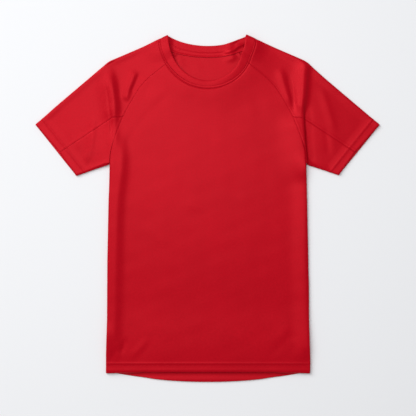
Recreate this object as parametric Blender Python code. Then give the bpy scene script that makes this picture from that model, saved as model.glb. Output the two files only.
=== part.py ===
# Short-sleeved raglan gym t-shirt, laid flat on its back.
#
# X runs across the shirt, +X to the wearer's left. Y runs from the hem towards the neck. Z is up.
# The shirt lies on Z = 0, and the middle of its box is at X = Y = 0.
# Lengths below are in millimetres, and a mesh is made in metres.
#
# Each panel is a grid of points on its outer face. A Solidify modifier grows the cloth inwards from it.
# The front layer follows one height field, so neighbouring panels meet at the same level.

import math
from collections import namedtuple

import bpy
import numpy as np

# ---------------------------------------------------------------- driving sizes

WALL = 1.1                  # one layer of cloth
DOUBLE_WALL = 2.2           # a turned-up hem, and the doubled rib of the neckband
HALF_GAP = 0.2              # each panel stops this far short of its seam line
NECK_GAP = 0.32             # and this far short of the neckband's seam
SIDE_GAP = 0.37             # and this far above or below the side seam

FRONT_HEM_Y = -369.7
TAIL_DROP = 18.9            # how far the back hem drops below the front hem, at the middle
TAIL_HALF_WIDTH = 204.0     # the drop tail spans this much to each side
TAIL_BEND = (-200.0, 148.0) # rows of the back bow towards the tail below this y, over this run
HEM_DEPTH = 20.0            # turned-up hem of the body
CUFF_DEPTH = 22.0           # turned-up hem of a sleeve
STEP = 1.6                  # run over which the wall goes from double to single

FLAT_TOP = 3.1              # top of the front layer where it lies flat
HEM_TOP = 5.4               # top of the front layer over two hems
NECK_TOP = 6.3              # top of the front layer at the neckband
LOWEST_TOP = 2.75           # no fold dips below this
FLOOR_SOFTNESS = 0.4        # round of a fold where it meets that limit
EDGE_RADIUS = 2.4           # round of the folded side edges
SIDE_SEAM_HEIGHT = 2.3      # the side seam runs along the middle of the folded edge
EDGE_TURN = (158.0, 40.0)   # the side edges are folded below this y, and lie flat above the run

# The neckline is two half ellipses about one centre: the free edge and the seam of the band.
NECK_CENTRE_Y = 388.0
NECK_EDGE = (88.5, 99.0)    # half width, depth
NECK_SEAM = (107.5, 111.2)
NECK_EDGE_TURN = math.radians(1.2)      # where the band starts to turn over the shoulder
NECK_SEAM_TURN = math.radians(6.0)
BACK_NECK_EDGE = (365.0, 22.0, 87.0)    # lowest y, rise at the side, half width
BACK_NECK_SEAM = (352.0, 25.0, 106.0)
TAPE_LOWER_EDGE = (341.0, 11.0, 80.0)
TAPE_HALF_WIDTH = 78.0

SidePoint = namedtuple("SidePoint", "y half_width")
SIDE = [
    SidePoint(-369.7, 230.0),
    SidePoint(-346.0, 229.7),
    SidePoint(-294.0, 228.2),
    SidePoint(-250.0, 226.8),
    SidePoint(-116.0, 226.0),
    SidePoint(0.0, 223.6),
    SidePoint(100.0, 221.5),
]

SeamPoint = namedtuple("SeamPoint", "x y")
FRONT_RAGLAN_LOW = [        # from the underarm up to the under-sleeve seam
    SeamPoint(221.5, 100.0),
    SeamPoint(220.0, 125.0),
    SeamPoint(212.5, 152.5),
    SeamPoint(191.5, 207.5),
]
FRONT_RAGLAN_HIGH = [       # from there up to the neckband
    SeamPoint(191.5, 207.5),
    SeamPoint(174.0, 240.0),
    SeamPoint(144.5, 284.0),
    SeamPoint(91.5, 328.8),
]
BACK_RAGLAN_LOW = [
    SeamPoint(221.5, 100.0),
    SeamPoint(214.0, 132.0),
    SeamPoint(186.0, 192.0),
]
BACK_RAGLAN_HIGH = [
    SeamPoint(186.0, 192.0),
    SeamPoint(150.0, 254.0),
    SeamPoint(104.0, 316.0),
    SeamPoint(64.0, 360.6),
]

# The sleeve is a loft from the raglan seam through the bend at the shoulder and the top of the hem to the cuff.
# A rib gives the outermost points of the sleeve's two folds and the ends of its two seams.
UNDERARM = (221.5, 100.0)
SHOULDER_TOP = (108.1, 379.2)
Rib = namedtuple("Rib", "under front_seam back_seam top")
BEND_RIB = Rib((229.0, 97.0), (214.5, 205.5), (214.5, 190.0), (221.5, 330.5))
CUFF_RIB = Rib((295.5, 75.6), (331.5, 128.1), (334.8, 125.5), (387.2, 189.5))    # the front edge bows in more


def inside_cuff(x, y):
    """Distance in from the line of the cuff."""
    start, end = CUFF_RIB.under, CUFF_RIB.top
    run = math.hypot(end[0] - start[0], end[1] - start[1])
    return ((end[1] - start[1]) * (start[0] - x) + (end[0] - start[0]) * (y - start[1])) / run


def rib_inside_cuff(depth):
    """The rib that follows the cuff's edge, that far in from it."""
    points = []
    for bend, cuff in zip(BEND_RIB, CUFF_RIB):
        share = depth / (inside_cuff(*bend) - inside_cuff(*cuff))
        points.append((cuff[0] + share * (bend[0] - cuff[0]), cuff[1] + share * (bend[1] - cuff[1])))
    return Rib(*points)


HEM_RIB = rib_inside_cuff(CUFF_DEPTH)

# Long soft folds of the front layer: a ridge is above the cloth around it, a trough is below.
Fold = namedtuple("Fold", "x0 y0 x1 y1 half_width height")
FOLDS = [
    Fold(-222.0, 322.0, -213.0, 222.0, 7.0, 2.4),       # pinch from the shoulder down to the underarm
    Fold(-213.0, 222.0, -214.0, 118.0, 7.0, 2.2),
    Fold(-204.0, 296.0, -198.0, 216.0, 6.0, -1.6),      # trough beside it
    Fold(-162.0, 304.0, -179.0, 250.0, 8.0, 1.6),
    Fold(-146.0, 308.0, -166.0, 262.0, 7.0, -1.2),
    Fold(-84.0, 258.0, -136.0, 214.0, 13.0, -1.2),      # sweep across the chest into the side
    Fold(-136.0, 214.0, -176.0, 150.0, 12.0, -1.0),
    Fold(-100.0, 284.0, -150.0, 244.0, 12.0, 0.9),
    Fold(-243.0, 180.0, -268.0, 104.0, 7.0, -0.9),      # under the sleeve
    Fold(217.0, 322.0, 212.0, 216.0, 8.0, 2.6),         # the same pinch on the other side
    Fold(212.0, 216.0, 214.0, 118.0, 8.0, 2.4),
    Fold(184.0, 280.0, 190.0, 226.0, 6.0, -1.3),
    Fold(166.0, 296.0, 178.0, 250.0, 8.0, 1.3),
    Fold(258.0, 262.0, 296.0, 156.0, 8.0, 1.0),
    Fold(-172.0, -322.0, -132.0, -290.0, 9.0, 0.9),     # creases drawn up from the hem corners
    Fold(150.0, -336.0, 184.0, -276.0, 13.0, -0.8),
]

# The loose roll along each side edge: where its crest lies, how high it is and how wide.
SideRoll = namedtuple("SideRoll", "y inset height half_width")
RIGHT_WEARER_ROLL = [
    SideRoll(-330.0, 14.0, 1.0, 12.0),
    SideRoll(-150.0, 15.0, 2.2, 12.0),
    SideRoll(40.0, 20.0, 3.0, 14.0),
    SideRoll(150.0, 20.0, 2.4, 14.0),
]
LEFT_WEARER_ROLL = [
    SideRoll(-330.0, 12.0, 1.2, 14.0),
    SideRoll(-180.0, 13.0, 2.4, 11.0),
    SideRoll(40.0, 14.0, 2.8, 12.0),
    SideRoll(150.0, 14.0, 2.4, 13.0),
]

ROLL_END = (190.0, 60.0)            # the rolls fade out below this y, over this run

# How the cloth climbs towards thicker places: how far in the climb ends, and the run that it takes.
NECK_CLIMB = 42.0
HEM_CLIMB = (6.0, 24.0)
CUFF_CLIMB = (4.0, 22.0)
CUFF_EXTRA = 0.2                    # the cuffs stand this much above the hem
HEM_DROOP = (0.5, 120.0)            # the hem lies lower in the middle: depth, half width

# How the cloth stands where it folds: height, distance in from the fold, half width.
Stand = namedtuple("Stand", "height inset half_width")
TOP_FOLD_STAND = Stand(1.5, 4.0, 9.0)
UNDER_FOLD_STAND = Stand(1.2, 3.0, 8.0)
RISE_POWER = 3.0                    # rises that meet are joined softly, not added

CLOTH_ROUGHNESS = 0.62
CLOTH_SHEEN = 0.3
CLOTH_RED = (0.52, 0.010, 0.020)    # linear colours
RIB_RED = (0.54, 0.012, 0.022)
TAPE_RED = (0.50, 0.011, 0.020)


# ---------------------------------------------------------------- small tools

def smoothstep(t):
    t = np.clip(t, 0.0, 1.0)
    return t * t * (3.0 - 2.0 * t)


def bump(distance, half_width):
    return np.exp(-(distance / half_width) ** 2)


def lerp(a, b, t):
    return a + (b - a) * t


CURVE_STEPS = 24        # fine steps between two given points of a curve


def through(points, count):
    """count + 1 points evenly spaced along a smooth curve through the given ones."""
    points = np.array(points, float)
    before = 2 * points[0] - points[1]
    after = 2 * points[-1] - points[-2]
    knots = np.vstack([before, points, after])
    fine = []
    for k in range(1, len(knots) - 2):
        p0, p1, p2, p3 = knots[k - 1:k + 3]
        for t in np.linspace(0.0, 1.0, CURVE_STEPS, endpoint=False):
            fine.append(0.5 * (2 * p1 + (p2 - p0) * t + (2 * p0 - 5 * p1 + 4 * p2 - p3) * t ** 2
                               + (3 * p1 - p0 - 3 * p2 + p3) * t ** 3))
    fine.append(points[-1])
    return evenly(fine, count)


def evenly(path, count):
    """count + 1 points evenly spaced along a path of straight runs."""
    path = np.array(path, float)
    runs = np.linalg.norm(np.diff(path, axis=0), axis=1)
    length = np.concatenate([[0.0], np.cumsum(runs)])
    wanted = np.linspace(0.0, length[-1], count + 1)
    return np.stack([np.interp(wanted, length, path[:, k]) for k in range(path.shape[1])], axis=1)


def moved_sideways(path, distance):
    """The path moved to the left of its direction."""
    run = np.gradient(path, axis=0)
    run /= np.linalg.norm(run, axis=1)[:, None]
    return path + distance * np.stack([-run[:, 1], run[:, 0]], axis=1)


def distance_to_run(x, y, x0, y0, x1, y1):
    """Distance to a straight run."""
    dx, dy = x1 - x0, y1 - y0
    along = np.clip(((x - x0) * dx + (y - y0) * dy) / (dx * dx + dy * dy), 0.0, 1.0)
    return np.hypot(x - x0 - along * dx, y - y0 - along * dy)


def ellipse_point(half_axes, angle):
    """A point of the front neckline: angle 0 is at +X and a quarter turn is at the low middle."""
    return np.array([half_axes[0] * math.cos(angle), NECK_CENTRE_Y - half_axes[1] * math.sin(angle)])


def back_curve(curve, x):
    """Height up the shirt of one of the shallow curves of the back neck."""
    lowest, rise, half_width = curve
    return lowest + rise * (x / half_width) ** 2


def tail_y(x):
    """The back hem: level with the front hem at the sides, dropped in the middle."""
    return FRONT_HEM_Y - TAIL_DROP * np.clip(1.0 - (x / TAIL_HALF_WIDTH) ** 2, 0.0, 1.0)


def half_width_at(y):
    rows = sorted(SIDE)
    return np.interp(y, [row.y for row in rows], [row.half_width for row in rows])


# ---------------------------------------------------------------- height of the front layer

def side_roll(x, y):
    """The loose rolls along the two side edges of the body."""
    total = 0.0
    for side, table in ((-1, RIGHT_WEARER_ROLL), (1, LEFT_WEARER_ROLL)):
        at = [row.y for row in table]
        inset = np.interp(y, at, [row.inset for row in table])
        height = np.interp(y, at, [row.height for row in table])
        half_width = np.interp(y, at, [row.half_width for row in table])
        from_edge = half_width_at(y) - side * x
        fade = smoothstep((ROLL_END[0] - y) / ROLL_END[1])
        total = total + fade * height * bump(from_edge - inset, half_width)
    return total


def neck_rise(x, y):
    """The cloth climbs towards the neckband."""
    reach = np.hypot(x / NECK_SEAM[0], (y - NECK_CENTRE_Y) / NECK_SEAM[1])
    from_seam = np.clip(reach - 1.0, 0.0, None) * NECK_SEAM[1]
    return (NECK_TOP - FLAT_TOP) * bump(from_seam, NECK_CLIMB)


def hem_rise(x, y):
    """Two hems lie on each other along the bottom."""
    droop = HEM_DROOP[0] * bump(x, HEM_DROOP[1])
    start = FRONT_HEM_Y + HEM_DEPTH + sum(HEM_CLIMB)
    return (HEM_TOP - FLAT_TOP - droop) * smoothstep((start - y) / HEM_CLIMB[1])


def cuff_rise(x, y):
    """Two hems lie on each other round a cuff. The line of the cuff also crosses the body, which is left as it lies."""
    start = CUFF_DEPTH + sum(CUFF_CLIMB)
    rise = HEM_TOP + CUFF_EXTRA - FLAT_TOP
    share = smoothstep((start - inside_cuff(np.abs(x), y)) / CUFF_CLIMB[1])
    return np.where(np.abs(x) > SIDE[0].half_width, rise * share, 0.0)


def fold_rise(stand, x, y, start, end):
    """The cloth stands a little beside a fold that runs from start to end on each side."""
    distance = distance_to_run(np.abs(x), y, *start, *end)
    return stand.height * bump(distance - stand.inset, stand.half_width)


def top_fold_rise(x, y):
    """The fold over the shoulder, then along the top of a sleeve."""
    return np.maximum(fold_rise(TOP_FOLD_STAND, x, y, SHOULDER_TOP, BEND_RIB.top),
                      fold_rise(TOP_FOLD_STAND, x, y, BEND_RIB.top, CUFF_RIB.top))


def under_fold_rise(x, y):
    """The fold along the underside of a sleeve."""
    return fold_rise(UNDER_FOLD_STAND, x, y, BEND_RIB.under, CUFF_RIB.under)


def fold_heights(x, y):
    total = 0.0
    for fold in FOLDS:
        distance = distance_to_run(x, y, fold.x0, fold.y0, fold.x1, fold.y1)
        total = total + fold.height * bump(distance, fold.half_width)
    return total


def top_height(x, y):
    """Height of the outer face of the front layer."""
    rises = [side_roll(x, y), neck_rise(x, y), hem_rise(x, y), cuff_rise(x, y),
             top_fold_rise(x, y), under_fold_rise(x, y)]
    joined = sum(rise ** RISE_POWER for rise in rises) ** (1.0 / RISE_POWER)
    height = FLAT_TOP + joined + fold_heights(x, y)
    over = height - LOWEST_TOP
    return LOWEST_TOP + 0.5 * (over + np.hypot(over, FLOOR_SOFTNESS))


def on_top(plan):
    """Plan points lifted to the outer face of the front layer."""
    plan = np.asarray(plan)
    return np.concatenate([plan, top_height(plan[..., 0], plan[..., 1])[..., None]], axis=-1)


def on_ground(plan):
    """Plan points on the underside of the back layer."""
    plan = np.asarray(plan)
    return np.concatenate([plan, np.zeros(plan.shape[:-1] + (1,))], axis=-1)


# ---------------------------------------------------------------- seam lines shared by neighbours

RAGLAN_LOW_STEPS = 4
RAGLAN_HIGH_STEPS = 6
NECK_STEPS = 3
BACK_LOW_STEPS = 4
BACK_HIGH_STEPS = 5

front_raglan_low = through(FRONT_RAGLAN_LOW, RAGLAN_LOW_STEPS)
front_raglan_high = through(FRONT_RAGLAN_HIGH, RAGLAN_HIGH_STEPS)
back_raglan_low = through(BACK_RAGLAN_LOW, BACK_LOW_STEPS)
back_raglan_high = through(BACK_RAGLAN_HIGH, BACK_HIGH_STEPS)
front_raglan = np.vstack([front_raglan_low, front_raglan_high[1:]])
back_raglan = np.vstack([back_raglan_low, back_raglan_high[1:]])


# ---------------------------------------------------------------- making a panel

def cloth_material(name, color):
    material = bpy.data.materials.new(name)
    material.use_nodes = True
    shader = material.node_tree.nodes["Principled BSDF"]
    shader.inputs["Base Color"].default_value = (*color, 1.0)
    shader.inputs["Roughness"].default_value = CLOTH_ROUGHNESS
    shader.inputs["Metallic"].default_value = 0.0
    shader.inputs["Sheen Weight"].default_value = CLOTH_SHEEN
    return material


SINGLE = WALL / DOUBLE_WALL


def panel(name, grid, layers, color, ring=False, turned=False):
    """A wall of cloth under a grid of outer points, in rows and columns.

    layers gives the wall at each point, as a share of a double wall. In a ring the last row joins the first.
    turned swaps the side that faces out.
    """
    rows, columns = grid.shape[:2]
    last = rows if ring else rows - 1
    faces = []
    for j in range(last):
        for i in range(columns - 1):
            a = j * columns + i
            b = (j + 1) % rows * columns + i
            face = (a, a + 1, b + 1, b)
            faces.append(face[::-1] if turned else face)
    mesh = bpy.data.meshes.new(name)
    mesh.from_pydata((grid.reshape(-1, 3) * 0.001).tolist(), [], faces)
    mesh.update()
    mesh.materials.append(cloth_material(name + "_cloth", color))
    mesh.shade_smooth()
    obj = bpy.data.objects.new(name, mesh)
    bpy.context.scene.collection.objects.link(obj)

    group = obj.vertex_groups.new(name="layers")
    for index, share in enumerate(np.broadcast_to(layers, (rows, columns)).ravel()):
        group.add([index], float(share), "REPLACE")
    wall = obj.modifiers.new("Wall", "SOLIDIFY")
    wall.thickness = DOUBLE_WALL * 0.001
    wall.offset = -1.0
    wall.use_even_offset = True
    wall.use_quality_normals = True
    wall.vertex_group = group.name


# ---------------------------------------------------------------- body panels

EdgePoint = namedtuple("EdgePoint", "inset height")
EDGE_ROUND = [              # shares of the round's radius and height, from the seam to the top
    EdgePoint(0.0, 0.0),
    EdgePoint(0.0, 0.24),
    EdgePoint(0.14, 0.56),
    EdgePoint(0.48, 0.87),
    EdgePoint(1.0, 1.0),
]


BESIDE_EDGE = [9.0, 16.0, 24.0, 33.0]   # extra columns of the front, over the rolls
MIDDLE_COLUMNS = 11
FRONT_SIDE_ROWS = 14
BACK_SIDE_ROWS = 6
FRONT_BOW_START = 60.0      # rows bow towards the neck above this y
BACK_BOW_START = 200.0
BOW_POWER = 1.5


def edge_insets(turned, beside):
    """Distances in from a side edge: the round, which opens out where the edge lies flat, then the rest."""
    even = np.linspace(0.0, 1.0, len(EDGE_ROUND))
    share = lerp(even, np.array([point.inset for point in EDGE_ROUND]), turned)
    return list(EDGE_RADIUS * share) + beside


def across(half_width, insets):
    """Columns from one side to the other: close together near the edges, even in the middle."""
    inner = half_width - insets[-1]
    middle = np.linspace(-inner, inner, MIDDLE_COLUMNS + 2)[1:-1]
    return np.concatenate([[inset - half_width for inset in insets], middle,
                           [half_width - inset for inset in reversed(insets)]])


def turn_edges(z, turned):
    """Brings the outermost columns of a row of heights to the side seam, in the round of the edge."""
    for k, point in enumerate(EDGE_ROUND):
        for column in (k, len(z) - 1 - k):
            gap = SIDE_GAP if z[column] > SIDE_SEAM_HEIGHT else -SIDE_GAP
            z[column] = lerp(z[column], SIDE_SEAM_HEIGHT + gap, turned * (1.0 - point.height))


def turned_share(y_edge):
    """1 beside the body's side seam, 0 up the raglan seam."""
    return smoothstep((EDGE_TURN[0] - y_edge) / EDGE_TURN[1])


def body_edge(raglan, side_rows):
    """Points up the +X edge of a body panel: the hem, the side seam, then the raglan seam."""
    hem_end = FRONT_HEM_Y + HEM_DEPTH
    rows = [FRONT_HEM_Y, hem_end, *np.linspace(hem_end + STEP, SIDE[-1].y, side_rows)[:-1]]
    side = [(half_width_at(y) - HALF_GAP, y) for y in rows]
    return np.vstack([side, moved_sideways(raglan, HALF_GAP)])


def bow_share(y_edge, start, neck_y):
    """0 where a row is straight, 1 along the neckline."""
    return max(0.0, (y_edge - start) / (neck_y - start)) ** BOW_POWER


def hemmed_panel(name, grid, turned=False):
    """A body panel: double wall in the hem, single above it."""
    layers = np.full((len(grid), 1), SINGLE)
    layers[:2] = 1.0
    panel(name, np.array(grid), layers, CLOTH_RED, turned=turned)


def front_panel():
    edge = body_edge(front_raglan, FRONT_SIDE_ROWS)
    neck_x, neck_y = edge[-1]
    neck_half_width = NECK_SEAM[0] + NECK_GAP
    neck_depth = NECK_SEAM[1] + NECK_GAP

    grid = []
    for x_edge, y_edge in edge:
        sag = (neck_y - NECK_CENTRE_Y + neck_depth) * bow_share(y_edge, FRONT_BOW_START, neck_y)
        turned = turned_share(y_edge)
        x = across(x_edge, edge_insets(turned, BESIDE_EDGE))
        share = np.clip(np.abs(x) / x_edge, 0.0, 1.0) * neck_x
        arc = NECK_CENTRE_Y - neck_depth * np.sqrt(1.0 - (share / neck_half_width) ** 2)
        y = y_edge - sag * (arc[0] - arc) / (arc[0] - arc.min())
        z = top_height(x, y)
        turn_edges(z, turned)
        grid.append(np.stack([x, y, z], axis=1))
    hemmed_panel("front", grid)


def back_panel():
    edge = body_edge(back_raglan, BACK_SIDE_ROWS)
    neck_x, neck_y = edge[-1]
    neck_low = BACK_NECK_SEAM[0] - NECK_GAP

    grid = []
    for x_edge, y_edge in edge:
        turned = turned_share(y_edge)
        x = across(x_edge, edge_insets(turned, []))
        tail = smoothstep((TAIL_BEND[0] - y_edge) / TAIL_BEND[1])
        bow = (neck_y - neck_low) * bow_share(y_edge, BACK_BOW_START, neck_y) * (1.0 - (x / x_edge) ** 2)
        y = y_edge + tail * (tail_y(x) - FRONT_HEM_Y) - bow
        z = np.zeros_like(x)
        turn_edges(z, turned)
        grid.append(np.stack([x, y, z], axis=1))
    hemmed_panel("back", grid, turned=True)


# ---------------------------------------------------------------- folded edges

FOLD_TURNS = [math.radians(angle) for angle in (90, 54, 18, -18, -54, -90)]


def round_fold(inset, facing, radius):
    """The round of a folded edge, from the top of the front layer to the underside of the back layer.

    inset is the plan point where the round starts, and facing is the direction that the edge faces.
    """
    points = []
    for turn in FOLD_TURNS:
        plan = np.asarray(inset) + radius * math.cos(turn) * np.asarray(facing)
        points.append([plan[0], plan[1], radius + radius * math.sin(turn)])
    return np.array(points)


def facing_of(start, end, side):
    """Unit normal of a run in plan, to its left for side 1."""
    run = np.array(end) - np.array(start)
    run = run / np.linalg.norm(run)
    return side * np.array([-run[1], run[0]])


SHOULDER_FACING = facing_of(SHOULDER_TOP, BEND_RIB.top, 1)
SLEEVE_FACING = facing_of(BEND_RIB.top, CUFF_RIB.top, 1)
BEND_FACING = (SHOULDER_FACING + SLEEVE_FACING) / np.linalg.norm(SHOULDER_FACING + SLEEVE_FACING)
UNDER_FACING = facing_of(UNDERARM, CUFF_RIB.under, -1)


def drawn_in(outermost, facing):
    """Where the round of a fold starts, for a given outermost point."""
    return np.array(outermost) - top_height(*outermost) / 2.0 * facing


# ---------------------------------------------------------------- sleeves

Station = namedtuple("Station", "before between layers")
STEP_SHARE = 0.013          # of the run from the bend to the hem
STATIONS = [Station(0, t, SINGLE) for t in (0.0, 0.34, 0.67)]
STATIONS += [Station(1, t, SINGLE) for t in (0.0, 0.14, 0.3, 0.48, 0.66, 0.84, 1.0 - STEP_SHARE)]
STATIONS += [Station(2, t, 1.0) for t in (0.0, 1.0)]


def straight(start, end, like):
    """Points on a straight run, spaced as the path given in like is."""
    runs = np.linalg.norm(np.diff(like, axis=0), axis=1)
    share = np.concatenate([[0.0], np.cumsum(runs)]) / runs.sum()
    return np.array(start) + share[:, None] * (np.array(end) - np.array(start))


def raglan_rib():
    """Plan paths at the sleeve's body end, from the under fold to the top fold."""
    under = drawn_in(UNDERARM, UNDER_FACING)
    front_low, front_high, back_low, back_high = [
        moved_sideways(path, -HALF_GAP)
        for path in (front_raglan_low, front_raglan_high, back_raglan_low, back_raglan_high)]
    seam = (NECK_SEAM[0] + NECK_GAP, NECK_SEAM[1] + NECK_GAP)
    start = math.asin((NECK_CENTRE_Y - FRONT_RAGLAN_HIGH[-1].y) / NECK_SEAM[1])
    front_neck = [ellipse_point(seam, angle) for angle in np.linspace(start, NECK_SEAM_TURN, NECK_STEPS + 1)]
    back_x = np.linspace(BACK_RAGLAN_HIGH[-1].x, front_neck[-1][0], NECK_STEPS + 1)
    back_neck = np.stack([back_x, back_curve(BACK_NECK_SEAM, back_x) - NECK_GAP], axis=1)
    back_neck[-1] = front_neck[-1]
    return {
        "under_front": np.vstack([under, front_low[1:]]),
        "under_back": np.vstack([under, back_low[1:]]),
        "upper_front": np.vstack([front_high, front_neck[1:]]),
        "upper_back": np.vstack([back_high, back_neck[1:]]),
        "facing": SHOULDER_FACING,
    }


def straight_rib(rib, facing, like):
    """Plan paths straight across the sleeve, with points spaced as on the raglan rib."""
    under = drawn_in(rib.under, UNDER_FACING)
    top = drawn_in(rib.top, facing)
    return {
        "under_front": straight(under, rib.front_seam, like["under_front"]),
        "under_back": straight(under, rib.back_seam, like["under_back"]),
        "upper_front": straight(rib.front_seam, top, like["upper_front"]),
        "upper_back": straight(rib.back_seam, top, like["upper_back"]),
        "facing": facing,
    }


def sleeve_sections(side):
    """Outer points of the upper and the under panel, a row for each station."""
    raglan = raglan_rib()
    ribs = [raglan, straight_rib(BEND_RIB, BEND_FACING, raglan), straight_rib(HEM_RIB, SLEEVE_FACING, raglan),
            straight_rib(CUFF_RIB, SLEEVE_FACING, raglan)]
    mirror = np.array([side, 1.0])
    under_facing = UNDER_FACING * mirror
    upper_rows, under_rows = [], []
    for station in STATIONS:
        before, after = ribs[station.before], ribs[station.before + 1]
        runs = {key: lerp(before[key], after[key], station.between) * mirror for key in raglan}
        top_facing = runs["facing"] / np.linalg.norm(runs["facing"])
        top_inset, under_inset = runs["upper_front"][-1], runs["under_front"][0]
        top_fold = round_fold(top_inset, top_facing, top_height(*top_inset) / 2.0)
        under_fold = round_fold(under_inset, under_facing, top_height(*under_inset) / 2.0)
        upper_rows.append(np.vstack([
            on_top(runs["upper_front"][:-1]), top_fold, on_ground(runs["upper_back"][-2::-1])]))
        under_rows.append(np.vstack([
            on_top(runs["under_front"][:0:-1]), under_fold, on_ground(runs["under_back"][1:])]))
    return np.array(upper_rows), np.array(under_rows)


def sleeve(name, side):
    upper, under = sleeve_sections(side)
    for grid, towards in ((upper, 1.0), (under, -1.0)):     # open the two seams between the panels
        grid[:, (0, -1), 1] += towards * HALF_GAP
    layers = np.array([station.layers for station in STATIONS])[:, None]
    panel(name + "_sleeve_upper", upper, layers, CLOTH_RED, turned=side > 0)
    panel(name + "_sleeve_under", under, layers, CLOTH_RED, turned=side < 0)


# ---------------------------------------------------------------- neck

BAND_SHARES = [0.0, 0.12, 0.55, 1.0]        # from the free edge to the seam
BAND_CROWN = 0.3
FRONT_BAND_STEPS = 30
BACK_BAND_STEPS = 14


def front_band_rows():
    """Rows across the band over the front, from +X to -X."""
    edge_angles = np.linspace(NECK_EDGE_TURN, math.pi - NECK_EDGE_TURN, FRONT_BAND_STEPS + 1)
    seam_angles = np.linspace(NECK_SEAM_TURN, math.pi - NECK_SEAM_TURN, FRONT_BAND_STEPS + 1)
    seam = (NECK_SEAM[0] - NECK_GAP, NECK_SEAM[1] - NECK_GAP)
    rows = []
    for edge_angle, seam_angle in zip(edge_angles, seam_angles):
        edge_point, seam_point = ellipse_point(NECK_EDGE, edge_angle), ellipse_point(seam, seam_angle)
        height = top_height(*seam_point)
        row = []
        for share in BAND_SHARES:
            plan = lerp(edge_point, seam_point, share)
            row.append([plan[0], plan[1], height + BAND_CROWN * math.sin(math.pi * share)])
        rows.append(row)
    return rows


def band_fold_rows(row, side):
    """The band's turn over one shoulder: each point of a front row goes round to the underside."""
    facing = SHOULDER_FACING * (side, 1.0)
    radius = row[0][2] / 2.0
    folds = [round_fold(point[:2], facing, radius)[1:-1] for point in row]
    return [list(turned) for turned in zip(*folds)]


def back_band_rows():
    """Rows across the band along the back, from -X to +X."""
    rows = []
    for across_share in np.linspace(-1.0, 1.0, BACK_BAND_STEPS + 1):
        edge_x = BACK_NECK_EDGE[2] * across_share
        seam_x = (BACK_NECK_SEAM[2] - NECK_GAP) * across_share
        edge_point = np.array([edge_x, back_curve(BACK_NECK_EDGE, edge_x)])
        seam_point = np.array([seam_x, back_curve(BACK_NECK_SEAM, seam_x) + NECK_GAP])
        rows.append([[*lerp(edge_point, seam_point, share), 0.0] for share in BAND_SHARES])
    return rows


def neckband():
    """The rib ring: over the front, round one shoulder, along the back, and round the other."""
    front = front_band_rows()
    rows = front + band_fold_rows(front[-1], -1) + back_band_rows() + band_fold_rows(front[0], 1)[::-1]
    panel("neckband", np.array(rows), 1.0, RIB_RED, ring=True, turned=True)


def neck_tape():
    """The strip over the back neck seam lies on the inside of the back panel."""
    top = WALL + 2 * HALF_GAP + WALL
    rows = []
    for x in np.linspace(-TAPE_HALF_WIDTH, TAPE_HALF_WIDTH, BACK_BAND_STEPS + 1):
        upper = back_curve(BACK_NECK_SEAM, x) - 2 * NECK_GAP
        lower = back_curve(TAPE_LOWER_EDGE, x)
        rows.append([[x, lerp(upper, lower, share), top] for share in (0.0, 0.5, 1.0)])
    panel("neck_tape", np.array(rows), SINGLE, TAPE_RED)


# ---------------------------------------------------------------- build

def clear_scene():
    for obj in list(bpy.data.objects):
        bpy.data.objects.remove(obj)


clear_scene()
front_panel()
back_panel()
sleeve("left", 1)
sleeve("right", -1)
neckband()
neck_tape()
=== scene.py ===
# Red raglan gym t-shirt with a rib crew neck and a drop tail, laid flat on its back.
# Sizes are in millimetres until a mesh is made: +x to the wearer's left, +y to the neck, z up.
import math
from collections import namedtuple

import bpy
import numpy as np
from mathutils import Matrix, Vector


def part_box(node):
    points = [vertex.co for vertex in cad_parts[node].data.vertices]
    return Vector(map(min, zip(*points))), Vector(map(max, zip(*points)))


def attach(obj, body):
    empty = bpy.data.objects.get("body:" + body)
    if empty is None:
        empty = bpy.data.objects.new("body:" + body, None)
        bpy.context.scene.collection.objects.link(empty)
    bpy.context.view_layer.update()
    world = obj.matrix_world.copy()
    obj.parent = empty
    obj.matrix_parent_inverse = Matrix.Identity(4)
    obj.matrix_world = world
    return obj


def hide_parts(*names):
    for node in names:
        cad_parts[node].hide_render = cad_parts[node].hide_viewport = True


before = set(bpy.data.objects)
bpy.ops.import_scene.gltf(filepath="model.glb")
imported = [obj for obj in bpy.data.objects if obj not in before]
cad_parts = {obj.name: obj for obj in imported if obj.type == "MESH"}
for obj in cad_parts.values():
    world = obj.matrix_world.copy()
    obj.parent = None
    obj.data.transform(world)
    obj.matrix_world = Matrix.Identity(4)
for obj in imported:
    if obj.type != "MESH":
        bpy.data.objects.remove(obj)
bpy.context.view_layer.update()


def lowCorner(node):
    return np.array(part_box(node)[0]) * 1000


frontLow, backLow, tapeLow = lowCorner("front"), lowCorner("back"), lowCorner("neck_tape")
print("frame loaded")


def newPiece(name, data):
    piece = bpy.data.objects.new(name, data)
    bpy.context.scene.collection.objects.link(piece)
    return piece


# curves and blends

def smooth(t):
    t = np.clip(t, 0, 1)
    return t * t * (3 - 2 * t)


def bump(distance, half):
    return np.exp(-(distance / half) ** 2)


def mix(a, b, t):
    return a + (b - a) * t


def splineThrough(points, steps=20):
    points = np.array(points, float)
    knots = np.vstack([2 * points[0] - points[1], points, 2 * points[-1] - points[-2]])
    fine = []
    for k in range(1, len(knots) - 2):
        p0, p1, p2, p3 = knots[k - 1:k + 3]
        for t in np.linspace(0, 1, steps, endpoint=False):
            fine.append(0.5 * (2 * p1 + (p2 - p0) * t + (2 * p0 - 5 * p1 + 4 * p2 - p3) * t ** 2
                               + (3 * p1 - p0 - 3 * p2 + p3) * t ** 3))
    return np.array(fine + [points[-1]])


def pathLength(path):
    return np.linalg.norm(np.diff(path, axis=0), axis=1).sum()


def alongPath(path, distances):
    path = np.asarray(path, float)
    at = np.concatenate([[0], np.cumsum(np.linalg.norm(np.diff(path, axis=0), axis=1))])
    return np.stack([np.interp(distances, at, path[:, k]) for k in range(path.shape[1])], axis=1)


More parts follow.
